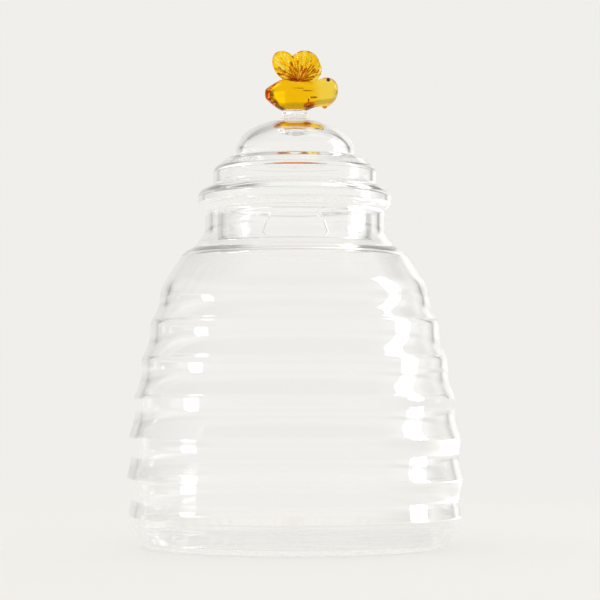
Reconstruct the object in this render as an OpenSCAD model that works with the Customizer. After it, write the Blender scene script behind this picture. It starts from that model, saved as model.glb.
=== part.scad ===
// Blown-glass honey pot with ringed walls and a lift-off lid that carries an amber glass bee.
// Millimetres, +Z up, the origin in the middle of the foot, the bee's head towards +X.

/* [Jar] */
// Height of the jar from the foot to the rim
jar_h = 104.9; // [97:0.1:112]
// Thickness of the jar's glass
jar_wall = 2.3; // [1.6:0.1:3]
// Radius of the flat that the jar stands on
foot_r = 46.8; // [42:0.1:48]
// Height at which the slanted heel meets the wall
heel_h = 6.4; // [5:0.1:8]
// Radius of the wall where the heel meets it
heel_r = 51.5; // [49:0.1:51.8]
// Rounding at the edge of the foot
foot_round = 2.6; // [1:0.1:4]
// Radius of the lowest ring
low_ring_r = 51.9; // [51.5:0.1:53]
// Radius of the widest ring
belly_r = 52.5; // [51.5:0.1:56]
// Height of the widest ring
belly_z = 20.9; // [19:0.1:24]
// Step down from the widest ring to the lowest
low_step = 11.6; // [10:0.1:12]
// Number of rings above the widest
upper_rings = 5; // [3:1:6]
// Share of each step that the next one keeps
step_keep = 0.949; // [0.9:0.001:0.99]
// Radius of the highest ring
top_ring_r = 42; // [40:0.1:45]
// How late the wall leans in: 1 leans evenly, more leans later
bell_power = 1.8; // [1.2:0.01:2.5]
// Depth of the scallop between two rings
scallop_depth = 1.3; // [0.6:0.05:1.8]
// Rounding of a ring's crest
ring_round = 4; // [2:0.1:8]
// Rounding of the scallop between two rings
scallop_round = 16; // [8:0.5:30]

/* [Shoulder and neck] */
// Radius of the shoulder's edge
shoulder_r = 34.9; // [33:0.1:37]
// Height of the shoulder's edge above the highest ring
shoulder_h = 11.1; // [9:0.1:13]
// Rise of the ledge between the shoulder's edge and the neck's flare
ledge_h = 1.6; // [1:0.1:2.5]
// Width of that ledge
ledge_w = 3.3; // [2:0.1:4]
// Height of the flare from the ledge up to the straight neck
flare_h = 4.6; // [4:0.1:7]
// Radius of the neck's outside
neck_r = 28.2; // [27:0.1:29.5]
// Height of the straight neck
neck_h = 7.1; // [5:0.1:9]
// Rounding of the shoulder's edge and of the ledge
shoulder_round = 1.2; // [0.5:0.1:2]
// Rounding where the flare turns into the neck
flare_round = 6; // [2:0.1:8]

/* [Lid] */
// Thickness of the lid's glass
lid_wall = 1.9; // [1.4:0.1:2.2]
// Gap between the neck's rim and the lid's underside, with the lid on
seat_gap = 0.1; // [0.05:0.05:0.3]
// Gap all round between the collar and the inside of the neck
collar_gap = 1.5; // [0.8:0.1:2]
// How far the collar reaches down into the neck
collar_h = 12.2; // [8:0.1:14]
// How far the lowest tier stands out over the neck
bead_over = 2.2; // [1.5:0.1:3.5]
// Height of the lowest tier
bead_h = 5.7; // [5:0.1:8]
// Rounding of the lowest tier
bead_round = 2.7; // [2:0.1:3]
// Radius of the middle tier
tier_r = 25.7; // [24:0.1:27]
// Rise of the crease between the lowest tier and the middle one
bead_crease_h = 2.2; // [1:0.1:3]
// Height of the middle tier's upright wall
tier_h = 4.9; // [4:0.1:7]
// Rise of the slope from the middle tier's edge to its flat top
tier_slope_h = 3.4; // [2:0.1:4.5]
// Width of that slope
tier_slope_w = 4; // [3:0.1:4.5]
// Rise of the flat top from the slope to the dome
tier_top_h = 0.6; // [0.2:0.1:1.5]
// Rounding of the middle tier's edge and of its slope
tier_round = 2.2; // [2:0.1:3]
// Rounding of the creases between the tiers
crease_round = 2; // [0.5:0.1:2.5]
// Radius of the dome
dome_r = 18.65; // [17:0.05:20]
// Height of the dome above its widest line
dome_h = 10.2; // [8:0.1:13]
// Height of the dome's widest line above the crease under it
dome_swell = 1.9; // [1:0.1:3]

/* [Notch in the collar] */
// Width of the notch at the collar's lower edge
notch_foot_w = 23; // [18:0.5:26]
// Width of the notch at its top
notch_top_w = 18.5; // [12:0.5:20]
// Height of the notch; at more than the collar's own height it is open up to the bell
notch_h = 13; // [6:0.1:14]
// Rounding of the notch's upper corners
notch_round = 3.4; // [1:0.1:5]

/* [Stem] */
// Radius of the clear stem under the bee
stem_r = 3.9; // [3:0.1:5]
// Height of the stem above the dome
stem_h = 3; // [2:0.1:6]
// Radius of the flare that fuses the stem to the dome
stem_foot_r = 5.2; // [4.5:0.1:6.5]
// Height of that flare
stem_flare_h = 1.5; // [0.5:0.1:2]

/* [Bee] */
// Radius of the abdomen
abdomen_r = 5.15; // [4.5:0.05:6]
// Length of the abdomen and chest
abdomen_l = 17.6; // [15:0.1:19]
// How far the abdomen's middle is behind the stem's axis
abdomen_back = 0.6; // [0:0.1:1.5]
// How far the stem's flat end is let into the belly
belly_sink = 0.5; // [0.3:0.05:0.8]
// Radius of the head
head_r = 4.15; // [3.5:0.05:4.6]
// Height of the head from chin to crown
head_h = 9.5; // [8.4:0.1:10.5]
// How far the head's middle is ahead of the stem's axis
head_reach = 9.4; // [8.5:0.1:10.5]
// Height of the head's middle above the abdomen's axis
head_lift = 0.9; // [-0.5:0.1:1.5]
// Forward lean of the head
head_lean = 10; // [0:1:20]
// Radius of an eye
eye_r = 0.75; // [0.5:0.01:1]
// How high the eyes sit on the head, as an angle up from its middle
eye_up = 54; // [40:1:70]
// How far the eyes are turned from the front to the side
eye_turn = 78; // [50:1:90]
// Radius of the dark drop under the chest
drop_r = 1.5; // [1:0.05:1.8]
// Place of the drop along the chest, as an angle forward from its middle
drop_ahead = 38; // [25:1:45]
// Turn of the drop below the level, on the near side
drop_turn = 46; // [30:1:70]
// Radius of the nub under the chin
nub_r = 0.75; // [0.4:0.05:1]

/* [Wings] */
// Radius of a front wing
fore_wing_r = 4.85; // [4:0.05:5.5]
// Length of a front wing, from its root to its middle
fore_wing_l = 5.4; // [5:0.1:6.5]
// Forward lean of a front wing
fore_lean = 20; // [12:1:30]
// Radius of a hind wing
hind_wing_r = 4.2; // [3.4:0.05:4.8]
// Length of a hind wing, from its root to its middle
hind_wing_l = 7; // [6:0.1:7.5]
// Backward lean of a hind wing
hind_lean = 38; // [34:1:48]
// Extra forward lean of the far pair
far_turn = 7; // [0:1:10]
// Outward splay of each pair of wings
wing_splay = 14; // [8:1:25]
// Thickness of a wing
wing_thick = 1.3; // [0.8:0.05:1.8]
// Width of a wing at its root
wing_root_w = 4; // [2:0.1:5]
// Distance from the bee's middle to a wing's root
wing_spread = 1.5; // [1.2:0.05:2]
// How far ahead of the stem's axis the wings have their root
wing_reach = 1.2; // [0:0.1:2]
// How deep the wings' root is sunk in the back
wing_sink = 0.9; // [0.5:0.1:1.2]
// Number of pressed ribs on each face of a wing
wing_ribs = 5; // [3:1:7]
// Radius of a pressed rib
rib_r = 0.26; // [0.15:0.01:0.35]
// Angle over which the ribs of one wing fan out
rib_fan = 66; // [40:1:80]

/* [Hidden] */
$fn = 96;

// Largest turn between two neighbouring points of a rounding, in degrees
ARC_STEP = 6;
// Largest share of a side that the rounding at one of its ends may take
SIDE_SHARE = 0.48;
// Smallest rounding that an inset corner keeps
LEAST_ROUND = 0.3;
// How far a cutting shape runs past what it cuts
PAST = 1;
// Share of a wing's radius at which its stalk runs into the round end
STALK_SHARE = 0.8;
// Where a rib starts and ends, as shares of the way from the root to the wing's tip
RIB_START = 0.36;
RIB_END = 0.9;
// Number of bands from pole to pole of a spheroid
BANDS = 24;

rim_z = jar_h;
neck_z = rim_z - neck_h;
ledge_z = neck_z - flare_h;
shoulder_z = ledge_z - ledge_h;
ring_top_z = shoulder_z - shoulder_h;
// Step up from the widest ring to the next, so that the rings fill the wall's height
ring_step = (ring_top_z - belly_z) * (1 - step_keep) / (1 - pow(step_keep, upper_rings));
neck_bore_r = neck_r - jar_wall;

seat_z = rim_z + seat_gap;
collar_r = neck_bore_r - collar_gap;
collar_bore_r = collar_r - lid_wall;
collar_z = seat_z - collar_h;
bead_r = neck_r + bead_over;
bead_z = seat_z + bead_h;
bead_crease_z = bead_z + bead_crease_h;
tier_z = bead_crease_z + tier_h;
tier_top_z = tier_z + tier_slope_h;
dome_z = tier_top_z + tier_top_h + dome_swell;
// Angles on the dome's ellipse: at the crease under it, and at the stem's foot
crease_turn = -asin(dome_swell / dome_h);
foot_turn = acos(stem_foot_r / dome_r);
dome_top_z = dome_z + dome_h * sin(foot_turn);
DOME_POINTS = 20;

stem_z = dome_top_z + stem_h;
bee_z = stem_z + abdomen_r - belly_sink;

// Height of ring k, counted from the widest ring, which is 0; the lowest is -1.
function ring_z(k) = k < 0
    ? belly_z - low_step
    : belly_z + ring_step * (1 - pow(step_keep, k)) / (1 - step_keep);

// Radius of ring k: the bell leans in towards the highest ring.
function ring_r(k) = k < 0
    ? low_ring_r
    : belly_r - (belly_r - top_ring_r)
        * pow((ring_z(k) - belly_z) / (ring_top_z - belly_z), bell_power);

// A path is a list of corners, each [radius, height, rounding].
function at(corner) = [corner[0], corner[1]];
function unit(v) = v / norm(v);
function left_of(v) = [-v.y, v.x];
function turned(v, a) = [v.x * cos(a) - v.y * sin(a), v.x * sin(a) + v.y * cos(a)];
function turn_at(a, b) = atan2(a.x * b.y - a.y * b.x, a * b);

// The points of one corner q between p and s, rounded with radius f.
function corner_points(p, q, s, f) =
    let (
        a = unit(q - p),
        b = unit(s - q),
        turn = turn_at(a, b)
    )
    f <= 0 || abs(turn) < 0.01
        ? [q]
        : let (
            slope = tan(abs(turn) / 2),
            reach = min(f * slope, SIDE_SHARE * norm(q - p), SIDE_SHARE * norm(s - q)),
            side = sign(turn),
            spoke = -left_of(a) * side * reach / slope,
            centre = q - a * reach - spoke,
            steps = max(1, ceil(abs(turn) / ARC_STEP))
        )
        [for (i = [0 : steps]) centre + turned(spoke, turn * i / steps)];

// All the points of an open path, with its corners rounded.
function rounded(path) = [
    for (i = [0 : len(path) - 1])
        if (i == 0 || i == len(path) - 1)
            at(path[i])
        else
            each corner_points(at(path[i - 1]), at(path[i]), at(path[i + 1]), path[i][2])
];

// The path at distance w to the left, as the other face of a wall of that thickness.
function inset(path, w) = [
    for (i = [0 : len(path) - 1])
        let (
            here = at(path[i]),
            a = i > 0 ? unit(here - at(path[i - 1])) : unit(at(path[i + 1]) - here),
            b = i < len(path) - 1 ? unit(at(path[i + 1]) - here) : a,
            n = left_of(a),
            m = left_of(b),
            moved = here + w * (n + m) / (1 + n * m),
            grown = path[i][2] - w * sign(turn_at(a, b))
        )
        [moved.x, moved.y, path[i][2] > 0 ? max(LEAST_ROUND, grown) : 0]
];

function reversed(list) = [for (i = [len(list) - 1 : -1 : 0]) list[i]];

// Corner between ring k and the next one up: the bottom of the scallop.
function scallop(k) =
    let (
        low = [ring_r(k), ring_z(k)],
        high = [ring_r(k + 1), ring_z(k + 1)],
        sunk = (low + high) / 2 + scallop_depth * left_of(unit(high - low))
    )
    [sunk.x, sunk.y, scallop_round];

// The jar's outside, from the middle of its foot up to the rim.
jar_path = [
    [0, 0, 0],
    [foot_r, 0, foot_round],
    [heel_r, heel_h, ring_round],
    for (k = [-1 : upper_rings]) each [
        [ring_r(k), ring_z(k), ring_round],
        if (k < upper_rings) scallop(k)
    ],
    [shoulder_r, shoulder_z, shoulder_round],
    [shoulder_r - ledge_w, ledge_z, shoulder_round],
    [neck_r, neck_z, flare_round],
    [neck_r, rim_z, 0]
];

// The lid's outside, from the collar's bore along the underside and up to the stem's foot.
bell_path = [
    [collar_bore_r, seat_z, 0],
    [bead_r, seat_z, bead_round],
    [bead_r, bead_z, bead_round],
    [tier_r, bead_crease_z, crease_round],
    [tier_r, tier_z, tier_round],
    [tier_r - tier_slope_w, tier_top_z, tier_round],
    for (i = [0 : DOME_POINTS])
        let (a = crease_turn + (foot_turn - crease_turn) * i / DOME_POINTS)
        [dome_r * cos(a), dome_z + dome_h * sin(a), i == 0 ? crease_round : 0],
    [0, dome_top_z, 0]
];

// The blown jar: one wall from the foot to the fire-polished rim.
module jar_body() {
    inner = inset(jar_path, jar_wall);
    rim = [neck_r - jar_wall / 2, rim_z - jar_wall / 2];
    color([0.93, 0.95, 0.95, 0.35])
        rotate_extrude()
            union() {
                difference() {
                    polygon(concat(rounded(jar_path), reversed(rounded(inner))));
                    translate([0, rim.y])
                        square([neck_r + PAST, jar_wall]);
                }
                translate(rim)
                    circle(r = jar_wall / 2);
            }
}

// The blown bell of the lid, with its three tiers, down to the face that rests on the neck.
module lid_bell() {
    outer = rounded(bell_path);
    inner = rounded(inset(bell_path, lid_wall));
    color([0.93, 0.95, 0.95, 0.35])
        rotate_extrude()
            polygon(concat(outer, reversed(inner)));
}

// The outline of the notch, seen along Y: wider at its foot, with rounded upper corners.
module notch_outline() {
    top = collar_z + notch_h;
    below = collar_z - PAST;
    spread = (notch_foot_w - notch_top_w) / 2 / notch_h;
    low_w = notch_foot_w / 2 + spread * PAST;
    polygon(rounded([
        [low_w, below, 0],
        [notch_top_w / 2, top, notch_round],
        [-notch_top_w / 2, top, notch_round],
        [-low_w, below, 0]
    ]));
}

// The collar that drops into the neck, with a notch at the back.
module lid_collar() {
    edge = lid_wall / 2;
    color([0.93, 0.95, 0.95, 0.35])
        difference() {
            rotate_extrude()
                union() {
                    translate([collar_bore_r, collar_z + edge])
                        square([lid_wall, collar_h - edge]);
                    translate([collar_bore_r + edge, collar_z + edge])
                        circle(r = edge);
                }
            rotate([90, 0, 180])
                linear_extrude(height = collar_r + PAST)
                    notch_outline();
        }
}

// The clear stem, flared where it is fused to the dome.
module finial_stem() {
    color([0.93, 0.95, 0.95, 0.35])
        rotate_extrude()
            polygon(concat([[0, dome_top_z]], rounded([
                [stem_foot_r, dome_top_z, 0],
                [stem_r, dome_top_z + stem_flare_h, stem_flare_h],
                [stem_r, stem_z, 0],
                [0, stem_z, 0]
            ])));
}

// A solid of revolution about Z from half an ellipse.
module spheroid(r, h) {
    rotate_extrude()
        polygon([
            for (i = [0 : BANDS])
                let (a = 180 * i / BANDS - 90)
                [r * cos(a), h / 2 * sin(a)]
        ]);
}

module at_abdomen() {
    translate([-abdomen_back, 0, bee_z])
        children();
}

// The abdomen and chest, before the stem's flat end is let in.
module abdomen_shape() {
    at_abdomen()
        rotate([0, 90, 0])
            spheroid(abdomen_r, abdomen_l);
}

// The amber gather on the stem.
module bee_abdomen() {
    color([0.95, 0.68, 0.05, 0.8])
        difference() {
            abdomen_shape();
            at_abdomen()
                translate([-abdomen_l / 2, -abdomen_r, belly_sink - 2 * abdomen_r])
                    cube([abdomen_l, 2 * abdomen_r, abdomen_r]);
        }
}

module at_head() {
    translate([head_reach, 0, bee_z + head_lift])
        rotate([0, head_lean, 0])
            children();
}

module head_shape() {
    at_head()
        spheroid(head_r, head_h);
}

// The head, a second gather that ends where it meets the chest.
module bee_head() {
    color([0.95, 0.68, 0.05, 0.8])
        difference() {
            head_shape();
            abdomen_shape();
        }
}

// A dot of dark glass on the head; side is -1 near the viewer and 1 behind.
module eye(side) {
    out = head_r * cos(eye_up);
    color([0.12, 0.06, 0.03])
        difference() {
            at_head()
                translate([
                    out * cos(eye_turn),
                    side * out * sin(eye_turn),
                    head_h / 2 * sin(eye_up)
                ])
                    sphere(r = eye_r);
            head_shape();
        }
}

module near_eye() {
    eye(-1);
}

module far_eye() {
    eye(1);
}

// The dark drop of glass on the near side of the chest.
module throat_drop() {
    color([0.55, 0.25, 0.03, 0.9])
        difference() {
            at_abdomen()
                rotate([drop_turn, 0, 0])
                    translate([
                        abdomen_l / 2 * sin(drop_ahead),
                        -abdomen_r * cos(drop_ahead),
                        0
                    ])
                        sphere(r = drop_r);
            abdomen_shape();
            head_shape();
        }
}

// The small nub under the chin.
module chin_nub() {
    color([0.55, 0.25, 0.03, 0.9])
        difference() {
            at_head()
                translate([0, 0, -head_h / 2])
                    sphere(r = nub_r);
            head_shape();
        }
}

// Puts a wing, drawn upright in the XZ plane, on the back; side is -1 near the viewer, 1 behind.
module at_wing_root(side, lean) {
    translate([wing_reach, side * wing_spread, bee_z + abdomen_r - wing_sink])
        rotate([-side * wing_splay, 0, 0])
            rotate([0, lean, 0])
                children();
}

module wing_stalk(r, l) {
    polygon([
        [-wing_root_w / 2, 0],
        [wing_root_w / 2, 0],
        [STALK_SHARE * r, l],
        [-STALK_SHARE * r, l]
    ]);
}

// A pressed wing: a round-edged disc on a stalk, with ribs fanned out from the root.
module wing(r, l) {
    half = wing_thick / 2;
    translate([0, 0, l])
        rotate([90, 0, 0])
            rotate_extrude()
                polygon(rounded([
                    [0, -half, 0],
                    [r, -half, half],
                    [r, half, half],
                    [0, half, 0]
                ]));
    rotate([90, 0, 0])
        linear_extrude(height = wing_thick * STALK_SHARE, center = true)
            wing_stalk(r, l);
    for (face = [-1, 1], i = [0 : wing_ribs - 1])
        let (
            a = rib_fan / 2 * (2 * i / (wing_ribs - 1) - 1),
            edge = l * cos(a) + sqrt(r * r - pow(l * sin(a), 2))
        )
        translate([0, face * half, 0])
            rotate([0, a, 0])
                translate([0, 0, (l + r) * RIB_START])
                    cylinder(r = rib_r, h = edge * RIB_END - (l + r) * RIB_START);
}

module fore_wing(side, lean) {
    color([0.97, 0.78, 0.2, 0.6])
        difference() {
            at_wing_root(side, lean)
                wing(fore_wing_r, fore_wing_l);
            abdomen_shape();
        }
}

// The front wing's outline and all that lies ahead of it.
module fore_half() {
    translate([0, fore_wing_l])
        circle(r = fore_wing_r);
    wing_stalk(fore_wing_r, fore_wing_l);
    translate([0, -fore_wing_l])
        square([3 * fore_wing_r, 3 * fore_wing_l]);
}

// A hind wing ends where it meets the front wing beside it.
module hind_wing(side, lean, fore) {
    color([0.97, 0.78, 0.2, 0.6])
        difference() {
            at_wing_root(side, lean)
                wing(hind_wing_r, hind_wing_l);
            at_wing_root(side, fore)
                rotate([90, 0, 0])
                    linear_extrude(height = 2 * wing_thick, center = true)
                        fore_half();
            abdomen_shape();
        }
}

module near_fore_wing() {
    fore_wing(-1, fore_lean);
}

module near_hind_wing() {
    hind_wing(-1, -hind_lean, fore_lean);
}

module far_fore_wing() {
    fore_wing(1, fore_lean + far_turn);
}

module far_hind_wing() {
    hind_wing(1, far_turn - hind_lean, fore_lean + far_turn);
}

jar_body();
lid_bell();
lid_collar();
finial_stem();
bee_abdomen();
bee_head();
near_fore_wing();
near_hind_wing();
far_fore_wing();
far_hind_wing();
near_eye();
far_eye();
throat_drop();
chin_nub();
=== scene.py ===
"""Looks of a blown-glass honey pot whose lift-off lid carries an amber glass bee.

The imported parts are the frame: every piece built here stands where one or more of them stand
and rides on the same body. Sizes are in millimetres until a mesh is made, then in metres.
"""

from __future__ import annotations

import logging
import math
from bisect import bisect_right
from dataclasses import dataclass, field
from enum import Enum
from itertools import accumulate

import bpy
from mathutils import Matrix, Vector

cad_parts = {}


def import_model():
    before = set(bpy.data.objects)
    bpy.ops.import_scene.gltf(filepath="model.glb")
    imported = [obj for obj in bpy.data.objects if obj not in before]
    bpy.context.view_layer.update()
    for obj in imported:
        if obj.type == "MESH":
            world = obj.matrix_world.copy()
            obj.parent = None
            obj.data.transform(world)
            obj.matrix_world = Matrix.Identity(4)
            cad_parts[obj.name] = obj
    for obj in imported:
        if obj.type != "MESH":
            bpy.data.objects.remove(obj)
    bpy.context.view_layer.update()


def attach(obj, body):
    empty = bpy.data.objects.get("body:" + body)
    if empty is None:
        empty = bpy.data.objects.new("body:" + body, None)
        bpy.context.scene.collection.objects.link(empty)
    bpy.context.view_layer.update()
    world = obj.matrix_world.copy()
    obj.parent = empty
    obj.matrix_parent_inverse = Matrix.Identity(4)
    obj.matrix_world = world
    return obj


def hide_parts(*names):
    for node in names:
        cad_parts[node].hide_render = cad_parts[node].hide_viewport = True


LOG = logging.getLogger("honey_pot")
MM = 0.001

# Kinds of node that come up often
MATH = "ShaderNodeMath"
MIX = "ShaderNodeMix"
RANGE = "ShaderNodeMapRange"
VECTOR = "ShaderNodeVectorMath"

# Turned outlines: the turn and the length that one side of an arc or a line may have, the share
# of a side that a rounding may take, and the least rounding on an inner face
ARC_STEP = math.radians(4.0)
LONGEST_STEP = 1.1
SIDE_SHARE = 0.48
LEAST_ROUND = 0.3

# The gap within which a turned wall's seam and poles are merged
MERGE_GAP = 0.002

# A pressed wing: the sides of its mesh, how late it is drawn out to its root, the shares of its
# length between which the ribs rise, how late they end at its rim, and the share of a gap past
# the outer ribs at which they start to fade
WING_SEGMENTS = 120
WING_RINGS = 64
ROOT_POWER = 3.0
RIB_START = 0.22
RIB_FULL = 0.5
RIB_RIM_POWER = 6.0
RIB_SPILL = 0.25

# Reflections in glass after which light is let out
TRAPPED_AFTER = 2.5

# The gap between the rim and the lid, and how far the stem reaches into the bee
SEAT_GAP = 0.1
STEM_SINK = 0.05


class Body(Enum):
    """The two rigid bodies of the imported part."""

    POT = "pot"
    LID = "lid"


class Slot(Enum):
    """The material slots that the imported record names."""

    CLEAR = "clear_glass"
    AMBER = "amber_glass"
    PALE_AMBER = "pale_amber_glass"
    BROWN = "brown_glass"
    DARK = "dark_glass"


class Side(Enum):
    """The two sides of the bee, seen from the front of the pot, by the sign of Y."""

    NEAR = -1
    FAR = 1

    @property
    def word(self) -> str:
        """The side as the names of pieces and nodes carry it."""
        return self.name.lower()


# Node trees


def linear(code: str) -> tuple[float, float, float, float]:
    """Turns an sRGB hex colour into linear red, green and blue, with full alpha.

    Args:
        code: six hex digits, such as "F0EFEB".

    Returns:
        The four channels, from 0 to 1.
    """
    channels = [int(code[i : i + 2], 16) / 255 for i in (0, 2, 4)]
    lit = (c / 12.92 if c <= 0.04045 else ((c + 0.055) / 1.055) ** 2.4 for c in channels)
    return (*lit, 1.0)


def add_node(
    tree: bpy.types.NodeTree, kind: str, inputs: dict | tuple | list = (), **settings: object
) -> bpy.types.Node:
    """Adds a node with its settings and links.

    Args:
        tree: the shader or geometry tree that gets the node.
        kind: the node's class name.
        inputs: what feeds its sockets, in their order or by name or index: a constant, an output
            socket or a node, which gives its first output.
        **settings: the node's properties and their values.

    Returns:
        The new node.
    """
    node = tree.nodes.new(kind)
    for name, value in settings.items():
        setattr(node, name, value)
    for key, value in inputs.items() if isinstance(inputs, dict) else enumerate(inputs):
        value = value.outputs[0] if isinstance(value, bpy.types.Node) else value
        if isinstance(value, bpy.types.NodeSocket):
            tree.links.new(value, node.inputs[key])
        else:
            node.inputs[key].default_value = value
    return node


# Turned outlines


@dataclass(frozen=True)
class Corner:
    """A corner of a turned outline: its radius, height and rounding in millimetres."""

    r: float
    z: float
    rounding: float = 0.0

    def point(self) -> Vector:
        """Returns the corner as a 2-D point."""
        return Vector((self.r, self.z))


def left_of(direction: Vector) -> Vector:
    """Returns the direction turned left by a quarter."""
    return Vector((-direction.y, direction.x))


def turn_between(a: Vector, b: Vector) -> float:
    """Returns the signed angle from direction a to direction b."""
    return math.atan2(a.x * b.y - a.y * b.x, a.dot(b))


def arc(start: float, end: float, steps: int) -> list[float]:
    """Returns evenly spaced angles from start to end."""
    return [start + (end - start) * i / steps for i in range(steps + 1)]


def corner_arc(before: Vector, corner: Vector, after: Vector, rounding: float) -> list[Vector]:
    """Rounds one corner with an arc that keeps within its two sides.

    Args:
        before: the corner before it.
        corner: the corner itself.
        after: the corner after it.
        rounding: the radius asked for.

    Returns:
        The points that stand for the corner, in order.
    """
    a, b = (corner - before).normalized(), (after - corner).normalized()
    turn = turn_between(a, b)
    if rounding <= 0 or abs(turn) < math.radians(0.01):
        return [corner]
    slope = math.tan(abs(turn) / 2)
    room = SIDE_SHARE * min((corner - before).length, (after - corner).length)
    reach = min(rounding * slope, room)
    spoke = -left_of(a) * math.copysign(reach / slope, turn)
    centre = corner - a * reach - spoke
    steps = max(3, math.ceil(abs(turn) / ARC_STEP))
    return [centre + Matrix.Rotation(t, 2) @ spoke for t in arc(0.0, turn, steps)]


def rounded(path: list[Corner]) -> list[Vector]:
    """Rounds the corners of an open path.

    Args:
        path: the corners in order; the first and the last stay sharp.

    Returns:
        The points in order, with an arc for each rounded corner.
    """
    points = [path[0].point()]
    for before, corner, after in zip(path, path[1:], path[2:]):
        points += corner_arc(before.point(), corner.point(), after.point(), corner.rounding)
    return points + [path[-1].point()]


def inset(path: list[Corner], wall: float) -> list[Corner]:
    """Moves a path to its left by the thickness of a wall.

    Args:
        path: the outer face, from the bottom up.
        wall: the thickness in millimetres.

    Returns:
        The inner face, with each rounding grown or shrunk by the wall.
    """
    sides = [(b.point() - a.point()).normalized() for a, b in zip(path, path[1:])]
    moved = []
    for corner, a, b in zip(path, [sides[0], *sides], [*sides, sides[-1]]):
        n, m = left_of(a), left_of(b)
        place = corner.point() + wall * (n + m) / (1 + n.dot(m))
        grown = corner.rounding - math.copysign(wall, turn_between(a, b))
        moved.append(Corner(place.x, place.y, max(LEAST_ROUND, grown) if corner.rounding else 0.0))
    return moved


def stepped(points: list[Vector], longest: float = LONGEST_STEP) -> list[Vector]:
    """Splits the long sides of a line of points, so that smooth shading stays true.

    Args:
        points: the line's points.
        longest: the length that no side may pass.

    Returns:
        The line with shorter sides, and without points that repeat.
    """
    fine = [points[0]]
    for a, b in zip(points, points[1:]):
        count = max(1, math.ceil((b - a).length / longest))
        fine += [a.lerp(b, i / count) for i in range(1, count + 1)]
    return [p for i, p in enumerate(fine) if i == 0 or (p - fine[i - 1]).length > 1e-4]


# Meshes


def new_piece(name: str, points: list, faces: list) -> bpy.types.Object:
    """Makes a smooth-shaded mesh object from points in millimetres.

    Args:
        name: the piece's name.
        points: one (x, y, z) a vertex.
        faces: one tuple of vertex numbers a face.

    Returns:
        The object, at the origin, with its place in its mesh.
    """
    mesh = bpy.data.meshes.new(name)
    mesh.from_pydata([(x * MM, y * MM, z * MM) for x, y, z in points], [], faces)
    mesh.validate()
    mesh.shade_smooth()
    piece = bpy.data.objects.new(name, mesh)
    bpy.context.scene.collection.objects.link(piece)
    return piece


def closed_grid(columns: list[list[tuple]], start: tuple, end: tuple) -> tuple[list, list]:
    """Joins a ring of columns into one closed skin.

    Args:
        columns: lines of points with equal lengths, in order round the piece.
        start: the pole that all columns start from.
        end: the pole that all columns run to.

    Returns:
        The vertices and the faces, which point outwards where each column runs upwards on the
        outside and the columns run anticlockwise seen from above.
    """
    rows = len(columns[0])
    points = [p for column in columns for p in column] + [start, end]
    first, last = len(points) - 2, len(points) - 1
    faces = []
    for i in range(len(columns)):
        a, b = i * rows, (i + 1) % len(columns) * rows
        faces.append((first, b, a))
        faces += [(a + k, b + k, b + k + 1, a + k + 1) for k in range(rows - 1)]
        faces.append((a + rows - 1, b + rows - 1, last))
    return points, faces


def finished(
    piece: bpy.types.Object,
    body: Body,
    material: bpy.types.Material,
    nodes: tuple[str, ...],
) -> bpy.types.Object:
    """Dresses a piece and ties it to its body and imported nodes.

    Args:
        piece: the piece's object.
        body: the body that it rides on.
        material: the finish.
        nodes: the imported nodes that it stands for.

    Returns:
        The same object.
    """
    piece.data.materials.clear()
    piece.data.materials.append(material)
    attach(piece, body.value)
    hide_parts(*nodes)
    LOG.info("%s: %d faces on %s", piece.name, len(piece.data.polygons), body.value)
    return piece


def fuse(piece: bpy.types.Object, other: bpy.types.Object) -> None:
    """Melts a second closed piece into the first and removes it.

    Args:
        piece: the piece that stays.
        other: the piece that it takes in.
    """
    modifier = piece.modifiers.new("Fuse", "BOOLEAN")
    modifier.operation = "UNION"
    modifier.solver = "EXACT"
    modifier.object = other
    graph = bpy.context.evaluated_depsgraph_get()
    mesh = bpy.data.meshes.new_from_object(piece.evaluated_get(graph), depsgraph=graph)
    piece.modifiers.clear()
    piece.data = mesh
    mesh.shade_smooth()
    bpy.data.objects.remove(other)


# Geometry Nodes


def node_tree(name: str, inputs: dict[str, tuple[str, object]]) -> tuple:
    """Starts a geometry tree with named inputs.

    Args:
        name: the tree's name.
        inputs: input name to its socket type and default value.

    Returns:
        The tree and its input node.
    """
    tree = bpy.data.node_groups.new(name, "GeometryNodeTree")
    tree.interface.new_socket("Geometry", in_out="INPUT", socket_type="NodeSocketGeometry")
    for label, (kind, value) in {**inputs, "Finish": ("Material", None)}.items():
        socket = tree.interface.new_socket(label, in_out="INPUT", socket_type=f"NodeSocket{kind}")
        if value is not None:
            socket.default_value = value
    tree.interface.new_socket("Geometry", in_out="OUTPUT", socket_type="NodeSocketGeometry")
    return tree, tree.nodes.new("NodeGroupInput")


def ended(given: bpy.types.Node, shape: bpy.types.Node) -> bpy.types.NodeTree:
    """Ends a geometry tree with smooth shading, real instances and the finish.

    Args:
        given: the tree's input node.
        shape: the node that gives the geometry so far.

    Returns:
        The tree.
    """
    tree = given.id_data
    smooth = add_node(tree, "GeometryNodeSetShadeSmooth", {"Geometry": shape})
    real = add_node(tree, "GeometryNodeRealizeInstances", {"Geometry": smooth})
    inputs = {"Geometry": real, "Material": given.outputs["Finish"]}
    add_node(tree, "NodeGroupOutput", (add_node(tree, "GeometryNodeSetMaterial", inputs),))
    return tree


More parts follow.
